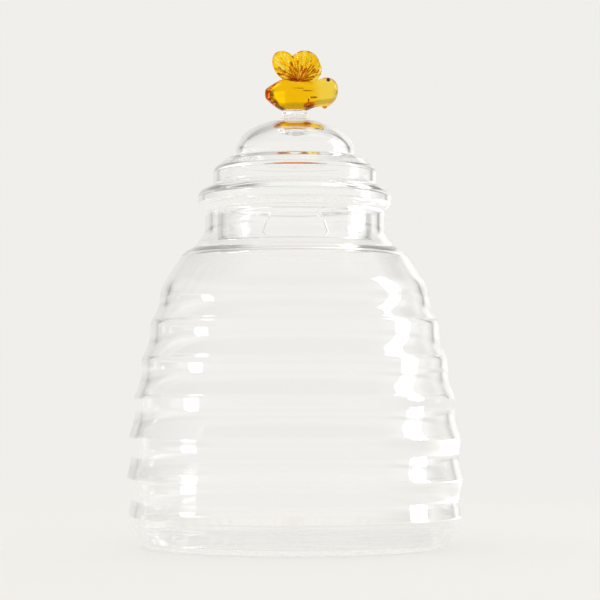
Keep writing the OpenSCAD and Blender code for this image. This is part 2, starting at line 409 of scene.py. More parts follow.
def grown(name: str, seed: bpy.types.Object, tree: bpy.types.NodeTree, values: dict) -> object:
    """Runs a geometry tree once and keeps its result as a plain mesh.

    Args:
        name: the new piece's name.
        seed: an object that holds the tree's input geometry, which is removed afterwards.
        tree: the geometry tree.
        values: input name to value.

    Returns:
        The new object.
    """
    modifier = seed.modifiers.new("Shape", "NODES")
    modifier.node_group = tree
    for item in tree.interface.items_tree:
        if item.in_out == "INPUT" and item.name in values:
            modifier[item.identifier] = values[item.name]
    graph = bpy.context.evaluated_depsgraph_get()
    mesh = bpy.data.meshes.new_from_object(seed.evaluated_get(graph), depsgraph=graph)
    mesh.name = name
    seed.modifiers.clear()
    old = seed.data
    bpy.data.objects.remove(seed)
    bpy.data.meshes.remove(old)
    piece = bpy.data.objects.new(name, mesh)
    bpy.context.scene.collection.objects.link(piece)
    return piece


def turned_wall_tree() -> bpy.types.NodeTree:
    """Builds the tree that turns a line of points about the axis into a closed wall.

    A grid gets one column for each step round and one row for each point of the line. Each
    grid point takes the place of its row's point, turned by its column's angle, and the seam
    and the poles are merged.

    Returns:
        The tree, whose inputs are Sides, Rows and Finish.
    """
    tree, given = node_tree("Turned wall", {"Sides": ("Int", 96), "Rows": ("Int", 2)})
    sides, rows = given.outputs["Sides"], given.outputs["Rows"]
    whole = "FunctionNodeIntegerMath"
    columns = add_node(tree, whole, (sides, 1), operation="ADD")
    grid = add_node(tree, "GeometryNodeMeshGrid", {"Vertices X": columns, "Vertices Y": rows})
    index = add_node(tree, "GeometryNodeInputIndex")
    column = add_node(tree, whole, (index, rows), operation="DIVIDE_FLOOR")
    row = add_node(tree, whole, (index, rows), operation="MODULO")
    share = add_node(tree, MATH, (column, sides), operation="DIVIDE")
    angle = add_node(tree, MATH, (share, math.tau), operation="MULTIPLY")
    place = add_node(tree, "GeometryNodeInputPosition")
    inputs = {"Geometry": given, "Value": place, "Index": row}
    sample = add_node(tree, "GeometryNodeSampleIndex", inputs, data_type="FLOAT_VECTOR")
    inputs = {"Vector": sample, "Angle": angle}
    turned = add_node(tree, "ShaderNodeVectorRotate", inputs, rotation_type="Z_AXIS")
    moved = add_node(tree, "GeometryNodeSetPosition", {"Geometry": grid, "Position": turned})
    inputs = {"Geometry": moved, "Distance": MERGE_GAP * MM}
    return ended(given, add_node(tree, "GeometryNodeMergeByDistance", inputs))


def pressed_wing_tree() -> bpy.types.NodeTree:
    """Builds the tree that presses a round gather into a ribbed wing.

    A sphere is flattened into a round-edged disc that narrows to the wing's root at the origin,
    and its two faces are lifted along ribs that fan out from the root.

    Returns:
        The tree, whose inputs are the wing's sizes in metres, the ribs and Finish.
    """
    sizes = {
        "Half width": ("Float", 0.005),
        "Half length": ("Float", 0.005),
        "Reach": ("Float", 0.0055),
        "Thickness": ("Float", 0.0013),
        "Root depth": ("Float", 0.0006),
        "Ribs": ("Int", 5),
        "Fan": ("Float", 1.15),
        "Rib height": ("Float", 0.0002),
    }
    tree, given = node_tree("Pressed wing", sizes)
    wide, tall, length, thick, root, ribs, fan, height = (given.outputs[n] for n in sizes)
    inputs = {"Segments": WING_SEGMENTS, "Rings": WING_RINGS}
    ball = add_node(tree, "GeometryNodeMeshUVSphere", inputs)
    place = add_node(tree, "GeometryNodeInputPosition")
    across, along, out = add_node(tree, "ShaderNodeSeparateXYZ", (place,)).outputs

    # The disc's outline, drawn out to the root
    back = add_node(tree, MATH, (along, -1.0), operation="MULTIPLY")
    back = add_node(tree, MATH, (back, 0.0), operation="MAXIMUM")
    rootward = add_node(tree, MATH, (back, ROOT_POWER), operation="POWER")
    drawn = add_node(tree, MATH, (length, root), operation="ADD")
    drawn = add_node(tree, MATH, (drawn, tall), operation="DIVIDE")
    drawn = add_node(tree, MATH, (drawn, 1.0), operation="SUBTRACT")
    drawn = add_node(tree, MATH, (rootward, drawn), operation="MULTIPLY")
    stretch = add_node(tree, MATH, (1.0, drawn), operation="ADD")
    x = add_node(tree, MATH, (across, wide), operation="MULTIPLY")
    up = add_node(tree, MATH, (along, tall), operation="MULTIPLY")
    up = add_node(tree, MATH, (up, stretch), operation="MULTIPLY")
    z = add_node(tree, MATH, (length, up), operation="ADD")

    # Its thickness, which is round at the rim
    bulge = add_node(tree, MATH, (out, out), operation="MULTIPLY")
    flat = add_node(tree, MATH, (1.0, bulge), operation="SUBTRACT")
    lens = add_node(tree, MATH, (1.0, flat), operation="ADD")
    lens = add_node(tree, MATH, (lens,), operation="SQRT")
    lens = add_node(tree, MATH, (out, lens), operation="MULTIPLY")
    half = add_node(tree, MATH, (thick, 0.5), operation="MULTIPLY")
    plain = add_node(tree, MATH, (lens, half), operation="MULTIPLY")

    # The ribs' wave, by the turn round the root
    turn = add_node(tree, MATH, (x, z), operation="ARCTAN2")
    gaps = add_node(tree, MATH, (ribs, 1.0), operation="SUBTRACT")
    pitch = add_node(tree, MATH, (fan, gaps), operation="DIVIDE")
    wave = add_node(tree, MATH, (turn, pitch), operation="DIVIDE")
    wave = add_node(tree, MATH, (wave, math.tau), operation="MULTIPLY")
    shift = add_node(tree, MATH, (gaps, math.pi), operation="MULTIPLY")
    wave = add_node(tree, MATH, (wave, shift), operation="ADD")
    wave = add_node(tree, MATH, (wave,), operation="COSINE")

    # They rise on the way out from the root, and end at the rim and at the fan's two edges
    xx = add_node(tree, MATH, (x, x), operation="MULTIPLY")
    zz = add_node(tree, MATH, (z, z), operation="MULTIPLY")
    away = add_node(tree, MATH, (xx, zz), operation="ADD")
    away = add_node(tree, MATH, (away,), operation="SQRT")
    whole = add_node(tree, MATH, (length, tall), operation="ADD")
    low = add_node(tree, MATH, (whole, RIB_START), operation="MULTIPLY")
    high = add_node(tree, MATH, (whole, RIB_FULL), operation="MULTIPLY")
    inputs = {"Value": away, "From Min": low, "From Max": high}
    start = add_node(tree, RANGE, inputs, interpolation_type="SMOOTHSTEP")
    rim = add_node(tree, MATH, (flat, RIB_RIM_POWER), operation="POWER")
    rim = add_node(tree, MATH, (1.0, rim), operation="SUBTRACT")
    half_fan = add_node(tree, MATH, (fan, 0.5), operation="MULTIPLY")
    inner = add_node(tree, MATH, (pitch, RIB_SPILL), operation="MULTIPLY")
    inner = add_node(tree, MATH, (half_fan, inner), operation="ADD")
    outer = add_node(tree, MATH, (half_fan, pitch), operation="ADD")
    beside = add_node(tree, MATH, (turn,), operation="ABSOLUTE")
    inputs = {"Value": beside, "From Min": inner, "From Max": outer, "To Min": 1, "To Max": 0}
    edge = add_node(tree, RANGE, inputs, interpolation_type="SMOOTHSTEP")
    lift = add_node(tree, MATH, (start, rim), operation="MULTIPLY")
    lift = add_node(tree, MATH, (lift, edge), operation="MULTIPLY")
    lift = add_node(tree, MATH, (wave, lift), operation="MULTIPLY")
    lift = add_node(tree, MATH, (lift, height), operation="MULTIPLY")
    face = add_node(tree, MATH, (out,), operation="SIGN")
    lift = add_node(tree, MATH, (lift, face), operation="MULTIPLY")
    y = add_node(tree, MATH, (plain, lift), operation="ADD")
    y = add_node(tree, MATH, (y, -1.0), operation="MULTIPLY")

    shaped = add_node(tree, "ShaderNodeCombineXYZ", (x, y, z))
    inputs = {"Geometry": ball, "Position": shaped}
    return ended(given, add_node(tree, "GeometryNodeSetPosition", inputs))


# Finishes


def empty_material(name: str) -> tuple[bpy.types.Material, bpy.types.NodeTree]:
    """Starts a material with an empty tree.

    Args:
        name: the finish's name.

    Returns:
        The material and its tree.
    """
    material = bpy.data.materials.new(name)
    material.use_nodes = True
    material.node_tree.nodes.clear()
    return material, material.node_tree


@dataclass(frozen=True)
class ClearGlass:
    """Blown borosilicate glass: colourless, with the faint swell that blowing leaves in it."""

    name: str = "blown borosilicate glass"
    tint: str = "FFFFFF"
    lamp_tint: str = "FFFFFF"
    specular_tint: str = "FFFFFF"
    ior: float = 1.474
    swell_mm: float = 14.0
    swell_height_mm: float = 0.02
    lamp_pass: float = 0.85

    def material(self) -> bpy.types.Material:
        """Builds the finish: the swell bends reflections a little, as hand-blown walls do.

        Returns:
            The material.
        """
        material, tree = empty_material(self.name)
        where = add_node(tree, "ShaderNodeTexCoord").outputs["Object"]
        scale = 1 / (self.swell_mm * MM)
        inputs = {"Vector": where, "Scale": scale, "Detail": 1.0, "Roughness": 0.4}
        swell = add_node(tree, "ShaderNodeTexNoise", inputs)
        polished_glass(tree, self, linear(self.tint), swell)
        return material


@dataclass(frozen=True)
class Stain:
    """A place where amber glass is denser: an ellipse in XZ, in millimetres."""

    x: float
    z: float
    wide: float
    tall: float


@dataclass(frozen=True)
class AmberGlass:
    """Solid lampworked amber glass: its colour deepens with the way that light takes in it."""

    name: str
    colour: str
    depth_per_mm: float
    lamp_tint: str
    clear_tint: str
    pale_tint: str
    # Where the clear tint gives way to the pale one: along X, or for a fan, over its streaks
    paler: tuple[float, float] = (5.0 * MM, 9.0 * MM)
    dense_tint: str = "5E1C02"
    specular_tint: str = "FFDA59"
    stains: tuple[Stain, ...] = ()
    # The grain of the stains' edges, how far they wander and how soft they are
    stain_grain_mm: float = 1.0
    stain_wander: float = 1.6
    stain_edge: float = 0.6
    # Left of this X, the far side is stained too, by a share
    through: float = -6.6 * MM
    through_share: float = 0.5
    # X and height of the place that the drawn streaks fan out from, and the streaks' sizes
    root: tuple[float, float] | None = None
    streak_reach_mm: float = 8.5
    streak_length_mm: float = 2.0
    streaks_per_radian: float = 10.0
    streak_contrast: float = 3.4
    streak_start: float = 0.35
    streak_edge: float = 0.3
    swell_mm: tuple[float, float, float] = (5.0, 2.0, 1.6)
    swell_height_mm: float = 0.06
    ior: float = 1.5
    lamp_pass: float = 0.8

    def material(self, base: float = 0.0) -> bpy.types.Material:
        """Builds the finish: thin edges stay yellow, thick and stained places turn brown.

        Args:
            base: the height that the stains and the root are counted from, in millimetres.

        Returns:
            The material.
        """
        material, tree = empty_material(self.name)
        where = add_node(tree, "ShaderNodeTexCoord").outputs["Object"]
        place = add_node(tree, "ShaderNodeSeparateXYZ", (where,)).outputs
        streaks = self.streaks(where, base)
        low, high = self.paler
        inputs = {"Value": streaks if self.root else place["X"], "From Min": low, "From Max": high}
        paler = add_node(tree, RANGE, inputs, interpolation_type="SMOOTHSTEP")
        inputs = {0: paler, 6: linear(self.clear_tint), 7: linear(self.pale_tint)}
        plain = add_node(tree, MIX, inputs, data_type="RGBA").outputs[2]
        stained = self.stained(where, place, streaks, base)
        inputs = {0: stained, 6: plain, 7: linear(self.dense_tint)}
        tint = add_node(tree, MIX, inputs, data_type="RGBA").outputs[2]
        output = polished_glass(tree, self, tint, streaks)
        inputs = {"Color": linear(self.colour), "Density": self.depth_per_mm / MM}
        depth = add_node(tree, "ShaderNodeVolumeAbsorption", inputs)
        tree.links.new(depth.outputs[0], output.inputs["Volume"])
        return material

    def streaks(self, where: bpy.types.NodeSocket, base: float) -> bpy.types.Node:
        """Adds the streaks that drawing leaves: along the piece, or fanned out from its root.

        Args:
            where: the object coordinates.
            base: the height that the root is counted from.

        Returns:
            The node that gives the streaks, as noise about one half.
        """
        tree = where.id_data
        if self.root:
            origin = (self.root[0] * MM, 0.0, (base + self.root[1]) * MM)
            away = add_node(tree, VECTOR, (where, origin), operation="SUBTRACT")
            x, y, z = add_node(tree, "ShaderNodeSeparateXYZ", (away,)).outputs
            length = add_node(tree, VECTOR, (away,), operation="LENGTH").outputs["Value"]
            streak = self.streak_length_mm * MM
            reach = add_node(tree, MATH, (length, streak), operation="DIVIDE")
            turn = add_node(tree, MATH, (x, z), operation="ARCTAN2")
            fan = add_node(tree, MATH, (turn, self.streaks_per_radian), operation="MULTIPLY")
            face = add_node(tree, MATH, (y,), operation="SIGN")
            drawn = add_node(tree, "ShaderNodeCombineXYZ", (fan, reach, face))
        else:
            scale = tuple(1 / (v * MM) for v in self.swell_mm)
            drawn = add_node(tree, VECTOR, (where, scale), operation="MULTIPLY")
        inputs = {"Vector": drawn, "Scale": 1.0, "Detail": 2.0, "Distortion": 0.5}
        return add_node(tree, "ShaderNodeTexNoise", inputs)

    def stained(
        self,
        where: bpy.types.NodeSocket,
        place: bpy.types.NodeOutputs,
        streaks: bpy.types.Node,
        base: float,
    ) -> bpy.types.Node | float:
        """Adds the mask of the denser places, with edges that wander as melted glass does.

        Args:
            where: the object coordinates.
            place: the object coordinates one by one.
            streaks: the drawn streaks.
            base: the height that the stains and the root are counted from.

        Returns:
            The mask, from 0 to 1.
        """
        tree = where.id_data
        masks = []
        if self.stains:
            scale = 1 / (self.stain_grain_mm * MM)
            inputs = {"Vector": where, "Scale": scale, "Detail": 3.0, "Roughness": 0.6}
            noise = add_node(tree, "ShaderNodeTexNoise", inputs)
            rough = add_node(tree, MATH, (noise, self.stain_wander), operation="MULTIPLY")
            rough = add_node(tree, MATH, (rough, self.stain_wander / 2), operation="SUBTRACT")
            masks += [(stain, rough, self.stain_edge) for stain in self.stains]
        if self.root:
            fan = Stain(*self.root, self.streak_reach_mm, self.streak_reach_mm)
            dark = add_node(tree, MATH, (streaks, 0.5), operation="SUBTRACT")
            dark = add_node(tree, MATH, (dark, self.streak_contrast), operation="MULTIPLY")
            dark = add_node(tree, MATH, (dark, self.streak_start), operation="SUBTRACT")
            masks.append((fan, dark, self.streak_edge))
        total = 0.0
        for stain, uneven, edge in masks:
            squares = []
            for at, middle, half in (
                (place["X"], stain.x, stain.wide),
                (place["Z"], base + stain.z, stain.tall),
            ):
                away = add_node(tree, MATH, (at, middle * MM), operation="SUBTRACT")
                share = add_node(tree, MATH, (away, half * MM), operation="DIVIDE")
                squares.append(add_node(tree, MATH, (share, 2.0), operation="POWER"))
            far = add_node(tree, MATH, squares, operation="ADD")
            far = add_node(tree, MATH, (far,), operation="SQRT")
            close = add_node(tree, MATH, (1.0, far), operation="SUBTRACT")
            close = add_node(tree, MATH, (close, uneven), operation="ADD")
            inputs = {"Value": close, "From Min": 0.0, "From Max": edge}
            mask = add_node(tree, RANGE, inputs, interpolation_type="SMOOTHSTEP")
            total = add_node(tree, MATH, (total, mask), operation="MAXIMUM")
        if not masks:
            return total
        near = add_node(tree, MATH, (place["Y"], 0.0), operation="LESS_THAN")
        left = add_node(tree, MATH, (place["X"], self.through), operation="LESS_THAN")
        left = add_node(tree, MATH, (left, self.through_share), operation="MULTIPLY")
        side = add_node(tree, MATH, (near, left), operation="MAXIMUM")
        return add_node(tree, MATH, (total, side), operation="MULTIPLY")


@dataclass(frozen=True)
class DarkGlass:
    """Nearly black glass dots with a wet gloss, streaked a little with brown."""

    name: str = "black-brown glass dots"
    dark: str = "160804"
    brown: str = "3A1606"
    streak_mm: float = 0.8
    roughness: float = 0.06
    ior: float = 1.52

    def material(self) -> bpy.types.Material:
        """Builds the finish: fine streaks of brown under a sharp gloss.

        Returns:
            The material.
        """
        material, tree = empty_material(self.name)
        where = add_node(tree, "ShaderNodeTexCoord").outputs["Object"]
        inputs = {"Vector": where, "Scale": 1 / (self.streak_mm * MM), "Detail": 2.0}
        streaks = add_node(tree, "ShaderNodeTexNoise", inputs)
        inputs = {0: streaks, 6: linear(self.dark), 7: linear(self.brown)}
        colour = add_node(tree, MIX, inputs, data_type="RGBA").outputs[2]
        inputs = {"Base Color": colour, "Roughness": self.roughness, "IOR": self.ior}
        gloss = add_node(tree, "ShaderNodeBsdfPrincipled", inputs)
        add_node(tree, "ShaderNodeOutputMaterial", (gloss,))
        return material


def polished_glass(
    tree: bpy.types.NodeTree,
    finish: ClearGlass | AmberGlass,
    tint: tuple | bpy.types.NodeSocket,
    swell: bpy.types.Node,
) -> bpy.types.Node:
    """Adds the surface that all clear glass shares, with its output.

    Part of the lamps' light goes straight through, as bright caustics would. Light that was
    trapped in the glass by several reflections is let out too, so that thick edges don't turn
    black.

    Args:
        tree: the material's tree.
        finish: the finish, which holds the tints, the index of refraction and the lamps' share.
        tint: the surface's colour, or the socket that gives it.
        swell: the node that gives the uneven skin's height, about one half.

    Returns:
        The output node.
    """
    inputs = {"Strength": 1.0, "Distance": finish.swell_height_mm * MM, "Height": swell}
    bump = add_node(tree, "ShaderNodeBump", inputs)
    inputs = {
        "Base Color": tint,
        "Roughness": 0.0,
        "IOR": finish.ior,
        "Transmission Weight": 1.0,
        "Specular Tint": linear(finish.specular_tint),
        "Normal": bump,
    }
    glass = add_node(tree, "ShaderNodeBsdfPrincipled", inputs)
    clear = add_node(tree, "ShaderNodeBsdfTransparent", (linear(finish.lamp_tint),))
    path = add_node(tree, "ShaderNodeLightPath").outputs
    passing = add_node(tree, MATH, (path["Is Shadow Ray"], finish.lamp_pass), operation="MULTIPLY")
    trapped = add_node(tree, MATH, (path["Glossy Depth"], TRAPPED_AFTER), operation="GREATER_THAN")
    passing = add_node(tree, MATH, (passing, trapped), operation="MAXIMUM")
    mixed = add_node(tree, "ShaderNodeMixShader", (passing, glass, clear))
    return add_node(tree, "ShaderNodeOutputMaterial", (mixed,))


# The jar


@dataclass
class Jar:
    """The ringed jar: a bell of rings that lean in towards the shoulder and the neck."""

    height: float = 104.9
    wall: float = 2.3
    foot_r: float = 46.8
    heel_h: float = 6.4
    heel_r: float = 51.5
    foot_round: float = 2.6
    low_ring_r: float = 51.9
    belly_r: float = 52.5
    belly_z: float = 20.9
    low_step: float = 11.6
    upper_rings: int = 5
    step_keep: float = 0.949
    top_ring_r: float = 42.0
    bell_power: float = 1.8
    scallop_depth: float = 1.3
    ring_round: float = 4.0
    top_ring_round: float = 14.0
    scallop_round: float = 16.0
    shoulder_r: float = 34.9
    shoulder_h: float = 11.1
    ledge_h: float = 1.6
    ledge_w: float = 3.3
    flare_h: float = 4.6
    neck_r: float = 28.2
    neck_h: float = 7.1
    shoulder_round: float = 6.0
    flare_round: float = 6.0
    sides: int = 200
    rim_steps: int = 20
    finish: ClearGlass = field(default_factory=ClearGlass)

    def ring_z(self, k: int) -> float:
        """Works out how high a ring is: the steps get shorter on the way up.

        Args:
            k: the ring's number, counted up from the widest ring, which is 0.

        Returns:
            Its height.
        """
        if k < 0:
            return self.belly_z - self.low_step
        share = (1 - self.step_keep**k) / (1 - self.step_keep**self.upper_rings)
        return self.belly_z + (self.shoulder_z - self.shoulder_h - self.belly_z) * share

    def ring_r(self, k: int) -> float:
        """Works out how wide a ring is: the bell leans in more on the way up.

        Args:
            k: the ring's number, counted up from the widest ring, which is 0.

        Returns:
            Its radius.
        """
        if k < 0:
            return self.low_ring_r
        top = self.ring_z(self.upper_rings)
        share = (self.ring_z(k) - self.belly_z) / (top - self.belly_z)
        return self.belly_r - (self.belly_r - self.top_ring_r) * share**self.bell_power

    @property
    def shoulder_z(self) -> float:
        """The height of the shoulder's edge."""
        return self.height - self.neck_h - self.flare_h - self.ledge_h

    def scallop(self, k: int) -> Corner:
        """Sinks the wall between a ring and the next one up.

        Args:
            k: the number of the ring below it.

        Returns:
            The corner at its bottom.
        """
        low = Vector((self.ring_r(k), self.ring_z(k)))
        high = Vector((self.ring_r(k + 1), self.ring_z(k + 1)))
        sunk = (low + high) / 2 + self.scallop_depth * left_of((high - low).normalized())
        return Corner(sunk.x, sunk.y, self.scallop_round)

    def path(self) -> list[Corner]:
        """Lays out the jar's outside.

        Returns:
            The corners, from the middle of the foot up to the rim.
        """
        path = [
            Corner(0, 0),
            Corner(self.foot_r, 0, self.foot_round),
            Corner(self.heel_r, self.heel_h, self.ring_round),
        ]
        for k in range(-1, self.upper_rings + 1):
            crest = self.top_ring_round if k == self.upper_rings else self.ring_round
            path.append(Corner(self.ring_r(k), self.ring_z(k), crest))
            if k < self.upper_rings:
                path.append(self.scallop(k))
        ledge_z = self.shoulder_z + self.ledge_h
        return path + [
            Corner(self.shoulder_r, self.shoulder_z, self.shoulder_round),
            Corner(self.shoulder_r - self.ledge_w, ledge_z, self.shoulder_round),
            Corner(self.neck_r, self.height - self.neck_h, self.flare_round),
            Corner(self.neck_r, self.height),
        ]

    def section(self) -> list[Vector]:
        """Lays out the wall's whole section: up the outside, over the rim and down inside.

        Returns:
            The section's points, from pole to pole.
        """
        half = self.wall / 2
        outer, inner = rounded(self.path()), rounded(inset(self.path(), self.wall))
        outer[-1].y = inner[-1].y = self.height - half
        rim = Vector((self.neck_r - half, self.height - half))
        turns = arc(0, math.pi, self.rim_steps)
        over = [rim + half * Vector((math.cos(a), math.sin(a))) for a in turns]
        return stepped(outer[:-1] + over + inner[-2::-1])

    def build(self) -> bpy.types.Object:
        """Turns the section about the axis and dresses it.

        Returns:
            The jar.
        """
        section = self.section()
        seed = new_piece("jar_section", [(p.x, 0, p.y) for p in section], [])
        material = self.finish.material()
        values = {"Sides": self.sides, "Rows": len(section), "Finish": material}
        piece = grown("jar_glass", seed, turned_wall_tree(), values)
        return finished(piece, Body.POT, material, ("jar_body",))


# The lid


@dataclass
class Lid:
    """The lid's clear glass: bell, stem and a collar that is open at the back."""

    seat_z: float
    neck_bore_r: float
    neck_r: float
    wall: float = 1.9
    collar_gap: float = 1.5
    collar_h: float = 12.2
    bend_r: float = 1.5
    bead_over: float = 2.2
    bead_h: float = 5.7
    bead_round: float = 2.7
    bead_crease_h: float = 2.2
    tier_r: float = 25.7
    tier_h: float = 4.9
    tier_slope_h: float = 3.4
    tier_slope_w: float = 4.0
    tier_top_h: float = 0.6
    tier_round: float = 2.2
    crease_round: float = 1.7
    dome_r: float = 18.65
    dome_h: float = 10.2
    dome_swell: float = 1.9
    stem_foot_r: float = 5.2
    stem_r: float = 3.9
    stem_flare_h: float = 1.5
    stem_h: float = 3.0
    stem_foot_round: float = 1.5
    drip_h: float = 1.8
    drip_r: float = 3.4
    notch_foot_w: float = 23.0
    notch_top_w: float = 18.5
    notch_round: float = 3.4
    notch_foot_round: float = 2.4
    # The way along the glass from the seat to the notch's top, and the turn of its middle
    notch_start: float = 0.35
    notch_at: float = math.pi / 2
    stem_top_round: float = 0.25
    sides: int = 208
    dome_steps: int = 36
    # Rows on each face of the collar, steps round its free edge, and the longest sides of the
    # lid's inside, which carries the drip, and of the notch's outline
    collar_rows: int = 14
    edge_steps: int = 12
    inside_step: float = 0.4
    notch_step: float = 0.25
    finish: ClearGlass = field(default_factory=ClearGlass)

    @property
    def collar_r(self) -> float:
        """The collar's outer radius."""
        return self.neck_bore_r - self.collar_gap

    @property
    def middle_r(self) -> float:
        """The radius of the middle of the collar's wall."""
        return self.collar_r - self.wall / 2

    @property
    def flange_r(self) -> float:
        """The radius at which the flat seat starts to bend down into the collar."""
        return self.middle_r + self.bend_r

    @property
    def dome_top_z(self) -> float:
        """The height of the dome where the stem stands on it."""
        return self.dome_point(self.foot_turn).y

    @property
    def stem_z(self) -> float:
        """The height of the stem's top."""
        return self.dome_top_z + self.stem_h

    @property
    def foot_turn(self) -> float:
        """The angle on the dome's ellipse at which the stem's foot stands."""
        return math.acos(self.stem_foot_r / self.dome_r)

    @property
    def tier_top_z(self) -> float:
        """The height of the middle tier's flat top."""
        rise = self.bead_h + self.bead_crease_h + self.tier_h + self.tier_slope_h
        return self.seat_z + rise

    def dome_point(self, turn: float) -> Vector:
        """Returns the point at an angle of the dome's ellipse."""
        dome_z = self.tier_top_z + self.tier_top_h + self.dome_swell
        return Vector((self.dome_r * math.cos(turn), dome_z + self.dome_h * math.sin(turn)))

    def bell(self) -> list[Corner]:
        """Lays out the bell's outside.

        Returns:
            The corners, from the flat seat up to the middle of the dome.
        """
        bead_r = self.neck_r + self.bead_over
        bead_z = self.seat_z + self.bead_h
        crease_z = bead_z + self.bead_crease_h
        path = [
            Corner(self.flange_r, self.seat_z),
            Corner(bead_r, self.seat_z, self.bead_round),
            Corner(bead_r, bead_z, self.bead_round),
            Corner(self.tier_r, crease_z, self.crease_round),
            Corner(self.tier_r, crease_z + self.tier_h, self.tier_round),
            Corner(self.tier_r - self.tier_slope_w, self.tier_top_z, self.tier_round),
        ]
        low = -math.asin(self.dome_swell / self.dome_h)
        for i, turn in enumerate(arc(low, self.foot_turn, self.dome_steps)):
            point = self.dome_point(turn)
            path.append(Corner(point.x, point.y, 0.0 if i else self.crease_round))
        return path + [Corner(0, self.dome_top_z)]

    def outside(self) -> list[Vector]:
        """Lays out the outside from the seat over the dome and up the stem.

        Returns:
            The points, from the seat to the middle of the stem's top.
        """
        top = self.dome_top_z
        stem = [
            Corner(self.stem_foot_r, top, self.stem_foot_round),
            Corner(self.stem_r, top + self.stem_flare_h, self.stem_flare_h),
            Corner(self.stem_r, self.stem_z, self.stem_top_round),
            Corner(0, self.stem_z),
        ]
        return stepped(rounded(self.bell()[:-2] + stem))

    def inside(self) -> list[Vector]:
        """Lays out the inside of the bell.

        The hot stem has sagged a little through the dome, so that a drip hangs under it.

        Returns:
            The points, from the middle of the dome down to the flat seat.
        """
        points = stepped(rounded(inset(self.bell(), self.wall)), self.inside_step)
        for point in points:
            if point.y > self.dome_top_z - 2 * self.wall:
                point.y -= self.drip_h * math.exp(-((point.x / self.drip_r) ** 2))
        return points[::-1]

    def sheet_point(self, q: float) -> tuple[Vector, Vector]:
        """Follows the middle of the glass from the seat round the bend and down the collar.

        Args:
            q: the way along the glass from the seat, in millimetres.

        Returns:
            The point and the heading there.
        """
        middle_z = self.seat_z + self.wall / 2
        bend = self.bend_r * math.pi / 2
        if q < bend:
            turn = math.pi / 2 + max(0.0, q) / self.bend_r
            centre = Vector((self.flange_r, middle_z - self.bend_r))
            spoke = Vector((math.cos(turn), math.sin(turn)))
            return centre + self.bend_r * spoke, left_of(spoke)
        return Vector((self.middle_r, middle_z - self.bend_r - (q - bend))), Vector((0, -1))

    def edge(self) -> tuple[list[Vector], list[Vector]]:
        """Lays the collar's free edge out flat, from the front round to the front again.

        Returns:
            For each column, the way round from the notch's middle and the way down, and the
            direction that points out of the glass.
        """
        half = self.wall / 2
        full = self.bend_r * math.pi / 2 + self.collar_h - self.bend_r - half
        round_way = math.pi * self.middle_r
        top, foot = self.notch_top_w / 2 + half, self.notch_foot_w / 2 + half
        left = [
            Corner(-round_way, full),
            Corner(-foot, full, self.notch_foot_round),
            Corner(-top, self.notch_start, self.notch_round + half),
        ]
        flat = left + [Corner(-c.r, c.z, c.rounding) for c in reversed(left)]
        line = stepped(rounded(flat), self.notch_step)
        ways = list(accumulate(((b - a).length for a, b in zip(line, line[1:])), initial=0.0))
        points, i = [], 0
        for column in range(self.sides):
            way = ways[-1] * column / self.sides
            while ways[i + 1] < way:
                i += 1
            points.append(line[i].lerp(line[i + 1], (way - ways[i]) / (ways[i + 1] - ways[i])))
        befores, afters = [points[0], *points[:-1]], [*points[1:], points[-1]]
        return points, [left_of((b - a).normalized()) for a, b in zip(befores, afters)]

    def build(self) -> bpy.types.Object:
        """Builds the one skin of the lid's clear glass and dresses it.

        Returns:
            The lid.
        """
        half = self.wall / 2
        inside, outside = self.inside(), self.outside()
        rows = [i / self.collar_rows for i in range(1, self.collar_rows + 1)]
        columns = []
        for i, (free, outward) in enumerate(zip(*self.edge())):
            home = 2 * math.pi * i / self.sides - math.pi
            turn = free.x / self.middle_r

            def sheet(share: float, side: float) -> tuple:
                """Finds a point of the collar's face.

                Args:
                    share: how far the point is on the way to the free edge.
                    side: 1 for the collar's outer face, -1 for its inner one.

                Returns:
                    The point.
                """
                point, heading = self.sheet_point(free.y * share)
                face = point + side * half * left_of(heading)
                return self.place(home + (turn - home) * share, face)

            column = [self.place(home, p) for p in inside[1:]]
            column += [sheet(share, -1) for share in rows]
            point, heading = self.sheet_point(free.y)
            for a in arc(math.pi, 0, self.edge_steps)[1:-1]:
                lift = half * math.sin(a)
                face = half * math.cos(a)
                middle = point + left_of(heading) * face + heading * (lift * outward.y)
                column.append(self.place(turn + lift * outward.x / self.middle_r, middle))
            column += [sheet(share, 1) for share in reversed(rows)]
            column += [self.place(home, p) for p in outside[:-1]]
            columns.append(column)
        start = (0.0, 0.0, inside[0].y)
        end = (0.0, 0.0, outside[-1].y)
        piece = new_piece("lid_glass", *closed_grid(columns, start, end))
        material = self.finish.material()
        nodes = ("lid_bell", "lid_collar", "finial_stem")
        return finished(piece, Body.LID, material, nodes)

    def place(self, turn: float, point: Vector) -> tuple[float, float, float]:
        """Puts a point of the section at an angle from the notch's middle."""
        angle = self.notch_at + turn
        return point.x * math.cos(angle), point.x * math.sin(angle), point.y


# The bee


@dataclass(frozen=True)
class Station:
    """A cut through the bee: its place along X, its top and bottom, and its half-width."""

    x: float
    top: float
    bottom: float
    half: float


@dataclass(frozen=True)
class Wing:
    """A wing's half-width, half-length and reach from its root, and its lean in degrees."""

    half_width: float
    half_length: float
    reach: float
    lean: float


@dataclass(frozen=True)
class Bead:
    """A bead pressed on the bee: its place along X, its turn from the near side upwards, its
    half-sizes along X, Y and Z, and its tilt about Y. The angles are in degrees.
    """

    x: float
    turn: float
    sizes: tuple[float, float, float]
    tilt: float


